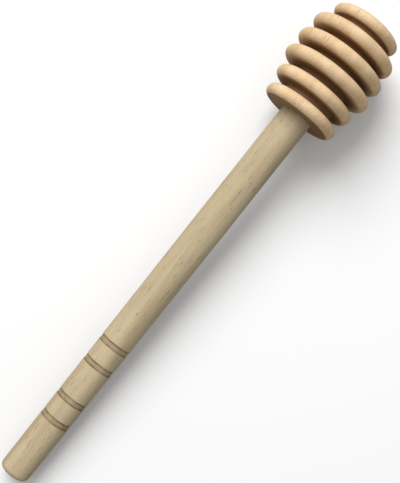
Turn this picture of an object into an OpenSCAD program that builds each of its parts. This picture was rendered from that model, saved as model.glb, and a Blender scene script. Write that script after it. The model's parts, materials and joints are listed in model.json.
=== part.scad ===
// Wooden honey dipper lying on a table: a turned head with six rings, glued onto a dowel handle.
// The long axis runs along +X, butt at -X and nose at +X, and the table is the plane z = 0.
// The dipper rests on its butt edge and on the rim of a wide ring, so its axis rises towards the nose.
// Every turned shape is drawn on the lathe axis first: distance along it from the butt, and radius.

/* [Overall] */
// Length along the axis, from the butt to the nose
overall_l = 160; // [145:1:180]

/* [Head] */
// Diameter of the first ring, next to the handle
ring_1_d = 23.1; // [20:0.1:26]
// Diameter of the second ring
ring_2_d = 24.9; // [20:0.1:28]
// Diameter of the third ring
ring_3_d = 28.0; // [22:0.1:32]
// Diameter of the fourth ring
ring_4_d = 27.9; // [22:0.1:32]
// Diameter of the fifth ring
ring_5_d = 26.5; // [20:0.1:30]
// Diameter of the sixth ring, at the nose
ring_6_d = 21.1; // [19:0.1:25]
// Thickness of a ring along the axis
ring_t = 3.6; // [3:0.1:4.5]
// How far the rounded rim of a ring stands out beyond its flat faces
rim_crown = 1.5; // [0.5:0.1:1.5]
// Radial width of the rounding on the nose side of the last ring
nose_round = 3.0; // [1:0.1:4]
// Width of the honey grooves between the rings
groove_w = 2.25; // [1.6:0.05:3]
// Diameter of the core that carries the rings
core_d = 15; // [13:0.1:17]
// Radius of the fillet at the foot of each groove wall
groove_fillet = 0.4; // [0.1:0.05:0.7]

/* [Handle] */
// Diameter of the plain shank next to the head
shank_d = 9.6; // [8.6:0.1:10.6]
// Diameter at the butt
butt_d = 8.9; // [7.6:0.1:10]
// Length of the tapered grip, from the butt to where the shank is straight
taper_l = 85; // [60:1:100]
// Radius that rounds the edge of the butt
butt_round = 1.5; // [0.5:0.1:3]

/* [Burnt rings] */
// Distance from the butt to the middle of the first burnt ring
burn_start = 19.5; // [10:0.1:26]
// Distance between the two rings of a pair
burn_gap = 7.1; // [4:0.1:12]
// Distance between the first rings of the two pairs
burn_pitch = 19.1; // [15:0.1:24]
// Width of a burnt ring
burn_w = 1.8; // [0.8:0.1:3]
// Depth of a burnt ring
burn_depth = 0.12; // [0.05:0.01:0.4]

/* [Glued joint] */
// Diameter of the blind bore in the head
bore_d = 8.4; // [7:0.1:8.5]
// Depth of the blind bore in the head
bore_l = 16; // [10:0.5:24]
// Thickness of the glue round the handle's end
glue_t = 0.1; // [0.05:0.01:0.3]
// Thickness of the glue between the handle's end and the bottom of the bore
glue_end = 0.5; // [0.2:0.1:2]
// Chamfer on the glued end of the handle
end_chamfer = 0.6; // [0.2:0.1:1.5]

/* [Hidden] */
$fn = 96;

head_wood = [0.91, 0.76, 0.56];
handle_wood = [0.84, 0.76, 0.60];
cured_glue = [0.88, 0.80, 0.56];

// The head: its rings and grooves share the same pitch, and the nose is its far end
ring_d = [ring_1_d, ring_2_d, ring_3_d, ring_4_d, ring_5_d, ring_6_d];
rings = len(ring_d);
last = rings - 1;
pitch = ring_t + groove_w;
head_x = overall_l - rings * ring_t - last * groove_w;
function ring_x(k) = head_x + ring_t / 2 + k * pitch;

// Radius of the arc that rounds a rim: it is ring_t wide and rim_crown high
rim_r = (pow(ring_t / 2, 2) + pow(rim_crown, 2)) / (2 * rim_crown);

// The handle: a straight taper up to the shank, whose shoulder seats on the head's flat face,
// and a glued end thinner than the bore by the glue
shank_r = shank_d / 2;
butt_r = butt_d / 2;
function handle_r(x) = butt_r + (shank_r - butt_r) * min(x / taper_l, 1);
glued_r = bore_d / 2 - glue_t;
end_x = head_x + bore_l - glue_end;
burn_x = [for (pair = [0, burn_pitch], step = [0, burn_gap]) burn_start + pair + step];

// Lying angle: the tangent under the rounded butt edge and under the lowest ring's rounded rim
butt_c = butt_r - butt_round;
function rim_c(k) = ring_d[k] / 2 - rim_r;
function lie(k) = atan2(rim_c(k) - butt_c, ring_x(k) - butt_round)
    + asin((rim_r - butt_round) / norm([rim_c(k) - butt_c, ring_x(k) - butt_round]));
lie_a = max([for (k = [0 : last - 1]) lie(k)]);

// Height of the axis at the butt, and the ends of the dipper along X measured from there
butt_z = butt_c * cos(lie_a) + butt_round - butt_round * sin(lie_a);
butt_end = butt_round * cos(lie_a) - butt_c * sin(lie_a) - butt_round;
nose_c = ring_6_d / 2 - nose_round;
nose_end = ring_x(last) * cos(lie_a) + nose_c * sin(lie_a)
    + norm([ring_t / 2 * cos(lie_a), nose_round * sin(lie_a)]);

// Lays a piece down: the lathe axis turns from +Z to +X and rises by the lying angle
module lying() {
    translate([-(butt_end + nose_end) / 2, 0, butt_z])
        rotate([0, 90 - lie_a, 0]) children();
}

// Half section of a ring with a rounded rim
module ring_section(k) {
    intersection() {
        translate([0, ring_x(k) - ring_t / 2]) square([ring_d[k] / 2, ring_t]);
        union() {
            translate([0, ring_x(k) - ring_t / 2]) square([rim_c(k), ring_t]);
            translate([rim_c(k), ring_x(k)]) circle(r = rim_r);
        }
    }
}

// Half section of the nose: a quarter of an ellipse from the last rim to the flat end
module nose_section() {
    arc = [for (a = [0 : 7.5 : 90]) [nose_c + nose_round * cos(a), ring_x(last) + ring_t / 2 * sin(a)]];
    polygon(concat([[0, ring_x(last)]], arc, [[0, overall_l]]));
}

// Half section of the last ring: a rounded rim towards the handle and the nose beyond its middle
module last_ring_section() {
    intersection() {
        ring_section(last);
        translate([0, ring_x(last) - ring_t / 2]) square([ring_6_d / 2, ring_t / 2]);
    }
    nose_section();
}

// Fillets in the two corners of the groove above ring k
module groove_fillets(k) {
    for (wall = [ring_x(k) + ring_t / 2, ring_x(k + 1) - ring_t / 2]) {
        inward = wall < ring_x(k) + pitch / 2 ? 1 : -1;
        difference() {
            translate([core_d / 2 - groove_fillet, wall - (inward < 0 ? groove_fillet : 0)])
                square([2 * groove_fillet, groove_fillet]);
            translate([core_d / 2 + groove_fillet, wall + inward * groove_fillet])
                circle(r = groove_fillet);
        }
    }
}

// Turned head: rings on a core, bored from the handle side
module dipper_head() {
    color(head_wood) lying() difference() {
        rotate_extrude() {
            translate([0, head_x]) square([core_d / 2, overall_l - head_x - ring_t / 2]);
            for (k = [0 : last - 1]) {
                ring_section(k);
                groove_fillets(k);
            }
            last_ring_section();
        }
        translate([0, 0, head_x - bore_l]) cylinder(d = bore_d, h = 2 * bore_l);
    }
}

// Dowel handle with a rounded butt, four burnt rings and a thinner, chamfered end in the bore
module handle() {
    butt_arc = [for (a = [90 : -10 : 0]) [
        butt_c + butt_round * cos(a), butt_round - butt_round * sin(a)]];
    burns = [for (x = burn_x, side = [-1, 1], step = [0, 1])
        let (at = x + side * burn_w / 2, cut = (side < 0) == (step > 0) ? burn_depth : 0)
            [handle_r(at) - cut, at]];
    shank = [[shank_r, taper_l], [shank_r, head_x], [glued_r, head_x]];
    glued_end = [[glued_r, end_x - end_chamfer], [glued_r - end_chamfer, end_x], [0, end_x]];
    color(handle_wood) lying()
        rotate_extrude() polygon(concat([[0, 0]], butt_arc, burns, shank, glued_end));
}

// Cured glue: all of the bore that the handle's end leaves free
module glue_film() {
    color(cured_glue) lying() difference() {
        translate([0, 0, head_x]) cylinder(d = bore_d, h = bore_l);
        rotate_extrude() polygon([
            [0, head_x - glue_end], [glued_r, head_x - glue_end],
            [glued_r, end_x - end_chamfer], [glued_r - end_chamfer, end_x], [0, end_x]]);
    }
}

dipper_head();
handle();
glue_film();
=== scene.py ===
"""Wooden honey dipper on a pale floor, seen from above as in the photograph."""
import json
import math

import bpy
from mathutils import Matrix, Vector

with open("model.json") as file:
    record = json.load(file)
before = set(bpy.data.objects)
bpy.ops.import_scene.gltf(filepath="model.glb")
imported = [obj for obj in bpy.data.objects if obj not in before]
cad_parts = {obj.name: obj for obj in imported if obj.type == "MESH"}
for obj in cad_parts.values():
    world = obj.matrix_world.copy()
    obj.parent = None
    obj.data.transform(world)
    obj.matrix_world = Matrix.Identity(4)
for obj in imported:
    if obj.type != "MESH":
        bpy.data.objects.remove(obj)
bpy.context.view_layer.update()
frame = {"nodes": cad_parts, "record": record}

MM = 0.001

# Sizes of the dipper, as the CAD model has them
HEAD_X = 127.15 * MM
RING_T = 3.6 * MM
GROOVE_W = 2.25 * MM
TAPER_L = 85.0 * MM
BURN_START = 19.5 * MM
BURN_GAP = 7.1 * MM
BURN_PITCH = 19.1 * MM
BURN_W = 1.8 * MM

# The axis: its direction and its point at the butt, from the mount on the shank,
# which starts where the taper ends
mount = frame["record"]["mounts"][0]
AXIS = -Vector(mount["axis"]).normalized()
MOUNT_X = TAPER_L + mount["dims"]["length_mm"] * MM / 2
BUTT = Vector(mount["pos_m"]) - AXIS * MOUNT_X
LIE = math.asin(AXIS.z)

# Camera: looks square to the axis, rolled so the handle runs up to the right
PHOTO_H = 483.0
FOCAL_PX = 900.0
SENSOR_MM = 36.0
CLIP_NEAR = 0.01
CLIP_FAR = 10.0
CAMERA_DISTANCE = 0.2514
HANDLE_SLOPE = math.radians(51.5)
CENTRE_X = 83.15 * MM
CENTRE_OFFSET = -0.67 * MM

# Grain: length and width of each layer's marks, in millimetres
STREAK = (46.0, 3.4)
FIBRE = (9.0, 0.32)
PATCH = (14.0, 6.0)
FLECK = (3.6, 0.42)
TURNING_LINE = (0.25, 30.0)
BURN_BLOTCH = (2.0, 2.4)

# Where each piece's grain is taken from, so the two woods differ
HEAD_GRAIN = 3.1
HANDLE_GRAIN = 7.7

HEAD_PALE = (0.82, 0.60, 0.37, 1.0)
HEAD_TAN = (0.68, 0.47, 0.26, 1.0)
HEAD_FLECK = (0.33, 0.19, 0.09, 1.0)
# Groove colour: partly scorch, partly painted shade of the recesses between the rings
HEAD_SCORCH_AND_SHADE = (0.22, 0.10, 0.03, 1.0)
HANDLE_PALE = (0.58, 0.47, 0.30, 1.0)
HANDLE_TAN = (0.45, 0.35, 0.21, 1.0)
HANDLE_FLECK = (0.20, 0.14, 0.08, 1.0)
HANDLE_BURN = (0.18, 0.11, 0.045, 1.0)
GLUE_DARK = (0.70, 0.58, 0.30, 1.0)
GLUE_PALE = (0.80, 0.70, 0.44, 1.0)

# Relief of the surface and the dull shine of bare wood
RELIEF = 0.2 * MM
RELIEF_STRENGTH = 0.6
SHINE = 0.35

# Studio: a white floor that keeps the dipper's shadow, one broad lamp and a soft fill
FLOOR_SIZE = 3.0
FLOOR_COLOUR = (0.95, 0.95, 0.95, 1.0)
FLOOR_BOUNCE = (0.30, 0.30, 0.30, 1.0)
KEY_SPOT = (0.42, 0.55, 0.75)
KEY_SIZE = 0.8
KEY_POWER = 10.0
WORLD_COLOUR = (1.0, 1.0, 1.0, 1.0)
WORLD_LEVEL = 0.45

# Sockets of a Mix node that mixes colours
MIX_FACTOR, MIX_FIRST, MIX_SECOND, MIX_RESULT = 0, 6, 7, 2


def add_camera():
    """Camera above the dipper, at the place and roll of the photograph's."""
    data = bpy.data.cameras.new("camera")
    camera = bpy.data.objects.new("camera", data)
    bpy.context.scene.collection.objects.link(camera)
    bpy.context.scene.camera = camera
    data.sensor_fit = "AUTO"
    data.sensor_width = SENSOR_MM
    data.lens = FOCAL_PX / PHOTO_H * SENSOR_MM
    data.clip_start = CLIP_NEAR
    data.clip_end = CLIP_FAR
    up = Vector((-AXIS.z, 0.0, AXIS.x))
    side = Vector((0.0, 1.0, 0.0))
    right = AXIS * math.cos(HANDLE_SLOPE) - side * math.sin(HANDLE_SLOPE)
    top = AXIS * math.sin(HANDLE_SLOPE) + side * math.cos(HANDLE_SLOPE)
    spot = BUTT + AXIS * CENTRE_X + side * CENTRE_OFFSET + up * CAMERA_DISTANCE
    camera.matrix_world = Matrix((
        (right.x, top.x, up.x, spot.x),
        (right.y, top.y, up.y, spot.y),
        (right.z, top.z, up.z, spot.z),
        (0.0, 0.0, 0.0, 1.0)))


class Value:
    """A shader socket that takes part in plain arithmetic."""

    def __init__(self, nodes, socket):
        self.nodes, self.socket = nodes, socket

    def maths(self, operation, *others, swap=False):
        """Math node on this value and the others, in reverse order if swapped."""
        values = [self, *others]
        if swap:
            values.reverse()
        return self.nodes.add("ShaderNodeMath", {"operation": operation}, dict(enumerate(values)))

    def __add__(self, other):
        return self.maths("ADD", other)

    __radd__ = __add__

    def __sub__(self, other):
        return self.maths("SUBTRACT", other)

    def __rsub__(self, other):
        return self.maths("SUBTRACT", other, swap=True)

    def __mul__(self, other):
        return self.maths("MULTIPLY", other)

    __rmul__ = __mul__

    def __abs__(self):
        return self.maths("ABSOLUTE")

    def smaller(self, other):
        return self.maths("MINIMUM", other)

    def larger(self, other):
        return self.maths("MAXIMUM", other)

    def power(self, exponent):
        return self.maths("POWER", exponent)

    def there_and_back(self, turn):
        """Rises from 0 to turn and falls back to 0, over and over."""
        return self.maths("PINGPONG", turn)


class Nodes:
    """The node tree of one material."""

    def __init__(self, name):
        self.material = bpy.data.materials.new(name)
        self.material.use_nodes = True
        self.tree = self.material.node_tree
        self.tree.nodes.clear()

    def add(self, kind, settings=None, sockets=None, out=0):
        """New node: its settings first, then the values or links of its sockets."""
        node = self.tree.nodes.new(kind)
        for name, value in (settings or {}).items():
            setattr(node, name, value)
        for name, value in (sockets or {}).items():
            if isinstance(value, Value):
                self.tree.links.new(value.socket, node.inputs[name])
            else:
                node.inputs[name].default_value = value
        return Value(self, node.outputs[out]) if node.outputs else node

    def blend(self, factor, first, second):
        """The first colour where the factor is 0, the second where it is 1."""
        return self.add("ShaderNodeMix", {"data_type": "RGBA"},
                        {MIX_FACTOR: factor, MIX_FIRST: first, MIX_SECOND: second}, MIX_RESULT)

    def step(self, value, low, high, start=0.0, end=1.0):
        """Smooth rise from start to end while value goes from low to high."""
        return self.add("ShaderNodeMapRange", {"interpolation_type": "SMOOTHSTEP"},
                        {0: value, 1: low, 2: high, 3: start, 4: end})

    def noise(self, vector, detail, roughness, distortion=0.0, scale=1.0):
        return self.add("ShaderNodeTexNoise", {"noise_dimensions": "3D"},
                        {"Vector": vector, "Scale": scale, "Detail": detail,
                         "Roughness": roughness, "Distortion": distortion})


def lathe_axes(nodes):
    """Object coordinates turned onto the lathe axis, in millimetres: along, and the two across."""
    coordinates = nodes.add("ShaderNodeTexCoord", out="Object")
    moved = nodes.add("ShaderNodeVectorMath", {"operation": "SUBTRACT"},
                      {0: coordinates, 1: tuple(BUTT)})
    turned = nodes.add("ShaderNodeVectorRotate", {"rotation_type": "Y_AXIS"},
                       {"Vector": moved, "Angle": LIE})
    scaled = nodes.add("ShaderNodeVectorMath", {"operation": "SCALE"},
                       {0: turned, "Scale": 1.0 / MM})
    split = nodes.add("ShaderNodeSeparateXYZ", {}, {0: scaled}).socket.node
    return scaled, [Value(nodes, output) for output in split.outputs]


def stretched(nodes, vector, marks, place=(0.0, 0.0, 0.0)):
    """Coordinates divided by the marks' length along the grain and their width across it."""
    along, across = marks
    return nodes.add("ShaderNodeMapping", {"vector_type": "POINT"},
                     {"Vector": vector, "Location": place,
                      "Scale": (1.0 / along, 1.0 / across, 1.0 / across)})


def finish_material(nodes, colour, roughness, height):
    """Closes a material: colour, roughness and relief on one shader."""
    bump = nodes.add("ShaderNodeBump", {},
                     {"Strength": RELIEF_STRENGTH, "Distance": RELIEF, "Height": height})
    surface = nodes.add("ShaderNodeBsdfPrincipled", {},
                        {"Base Color": colour, "Roughness": roughness, "Normal": bump,
                         "Specular IOR Level": SHINE})
    nodes.add("ShaderNodeOutputMaterial", {}, {"Surface": surface})
    return nodes.material


def wood_layers(nodes, vector, pale, tan, dark, grain):
    """Long-grained wood: streaks, fibres, patches and short dark flecks.

    Returns the colour, the height of the relief, and the fibres."""
    streak = nodes.noise(stretched(nodes, vector, STREAK, (grain, 0.0, 0.0)), 3.0, 0.5, 0.35)
    fibre = nodes.noise(stretched(nodes, vector, FIBRE, (0.0, grain, 0.0)), 5.0, 0.65, 0.2)
    patch = nodes.noise(stretched(nodes, vector, PATCH, (0.0, 0.0, grain)), 2.0, 0.5)
    fleck = nodes.noise(stretched(nodes, vector, FLECK, (grain, grain, 0.0)), 2.0, 0.4)
    flecks = nodes.step(fleck, 0.65, 0.73)
    tone = streak * 0.55 + fibre * 0.3 + patch * 0.15
    colour = nodes.blend(nodes.step(tone, 0.36, 0.64), tan, pale)
    colour = nodes.blend(flecks * 0.55, colour, dark)
    height = fibre * 0.7 - flecks * 0.5
    return colour, height, fibre


def head_wood():
    """The head's warm wood, with fine turning lines, and grooves darkened by scorch and painted
    shade.
    """
    nodes = Nodes("head_wood")
    vector, (x, y, z) = lathe_axes(nodes)
    radius = (y * y + z * z).power(0.5)
    colour, height, fibre = wood_layers(nodes, vector, HEAD_PALE, HEAD_TAN, HEAD_FLECK, HEAD_GRAIN)
    # Distance along the axis from the middle of the nearest ring: past the ring's
    # face it is a groove, darkened by scorch and painted shade, darkest at the core
    half_ring = RING_T / 2 / MM
    pitch = (RING_T + GROOVE_W) / MM
    from_ring = (x - (HEAD_X + RING_T / 2) / MM).there_and_back(pitch / 2)
    groove = nodes.step(from_ring, half_ring - 0.25, half_ring + 0.05)
    depth = nodes.step(radius, 9.5, 13.2, 1.0, 0.15)
    turned = nodes.noise(stretched(nodes, vector, TURNING_LINE), 2.0, 0.5)
    # Painted shade deepening into the grooves toward the core, mixed with scorch and streaked by
    # turning lines
    scorch_and_shade = groove * depth * (0.65 + turned * 0.5)
    colour = nodes.blend(scorch_and_shade.smaller(1.0), colour, HEAD_SCORCH_AND_SHADE)
    return finish_material(nodes, colour, 0.62 + fibre * 0.12, height + turned * 0.35)


def handle_wood():
    """The handle's paler wood, with its four burnt rings."""
    nodes = Nodes("handle_wood")
    vector, (x, _, _) = lathe_axes(nodes)
    colour, height, fibre = wood_layers(
        nodes, vector, HANDLE_PALE, HANDLE_TAN, HANDLE_FLECK, HANDLE_GRAIN)
    # Burnt rings: a brown band with two darker edges, each ring uneven round the handle
    blotch = nodes.noise(stretched(nodes, vector, BURN_BLOTCH), 3.0, 0.6)
    burn = None
    half = BURN_W / 2 / MM
    for pair in (0.0, BURN_PITCH):
        for step in (0.0, BURN_GAP):
            away = abs(x - (BURN_START + pair + step) / MM)
            band = nodes.step(away, half - 0.12, half + 0.18, 1.0, 0.0)
            edge = nodes.step(abs(away - (half - 0.2)), 0.05, 0.4, 1.0, 0.0)
            ring = band * 0.45 + edge * 0.45
            burn = ring if burn is None else burn.larger(ring)
    colour = nodes.blend((burn * (0.2 + blotch * 1.4)).smaller(1.0), colour, HANDLE_BURN)
    return finish_material(nodes, colour, 0.6 + fibre * 0.12, height)


def cured_glue():
    """Cloudy yellow glue, hidden in the joint."""
    nodes = Nodes("cured_glue")
    vector, _ = lathe_axes(nodes)
    cloud = nodes.noise(vector, 4.0, 0.55, scale=1.5)
    colour = nodes.blend(cloud, GLUE_DARK, GLUE_PALE)
    return finish_material(nodes, colour, 0.35 + cloud * 0.1, cloud)


def dress_nodes():
    """Puts each material on its CAD node."""
    for name, material in (("dipper_head", head_wood()), ("handle", handle_wood()),
                           ("glue_film", cured_glue())):
        for slot in frame["nodes"][name].material_slots:
            slot.material = material


def add_floor():
    """Floor of plain paper, white to the camera and greyer to the dipper above it."""
    bpy.ops.object.select_all(action="DESELECT")
    bpy.ops.mesh.primitive_plane_add(size=FLOOR_SIZE, location=(0.0, 0.0, 0.0))
    floor = bpy.context.object
    floor.name = "floor"
    nodes = Nodes("floor_paper")
    seen = nodes.add("ShaderNodeLightPath", out="Is Camera Ray")
    white = nodes.add("ShaderNodeBsdfDiffuse", {}, {"Color": FLOOR_COLOUR})
    grey = nodes.add("ShaderNodeBsdfDiffuse", {}, {"Color": FLOOR_BOUNCE})
    surface = nodes.add("ShaderNodeMixShader", {}, {0: seen, 1: grey, 2: white})
    nodes.add("ShaderNodeOutputMaterial", {}, {"Surface": surface})
    floor.data.materials.append(nodes.material)


def add_lights():
    """Even white world and one broad lamp, from the nose's end of the upper left side."""
    world = bpy.data.worlds.new("studio")
    bpy.context.scene.world = world
    world.use_nodes = True
    background = world.node_tree.nodes["Background"]
    background.inputs["Color"].default_value = WORLD_COLOUR
    background.inputs["Strength"].default_value = WORLD_LEVEL
    lamp = bpy.data.lights.new("key", "AREA")
    lamp.shape = "DISK"
    lamp.size = KEY_SIZE
    lamp.energy = KEY_POWER
    key = bpy.data.objects.new("key", lamp)
    bpy.context.scene.collection.objects.link(key)
    key.location = KEY_SPOT
    key.rotation_euler = (-Vector(KEY_SPOT)).to_track_quat("-Z", "Y").to_euler()


add_camera()
add_lights()
add_floor()
dress_nodes()
bpy.context.scene.view_settings.view_transform = "Standard"
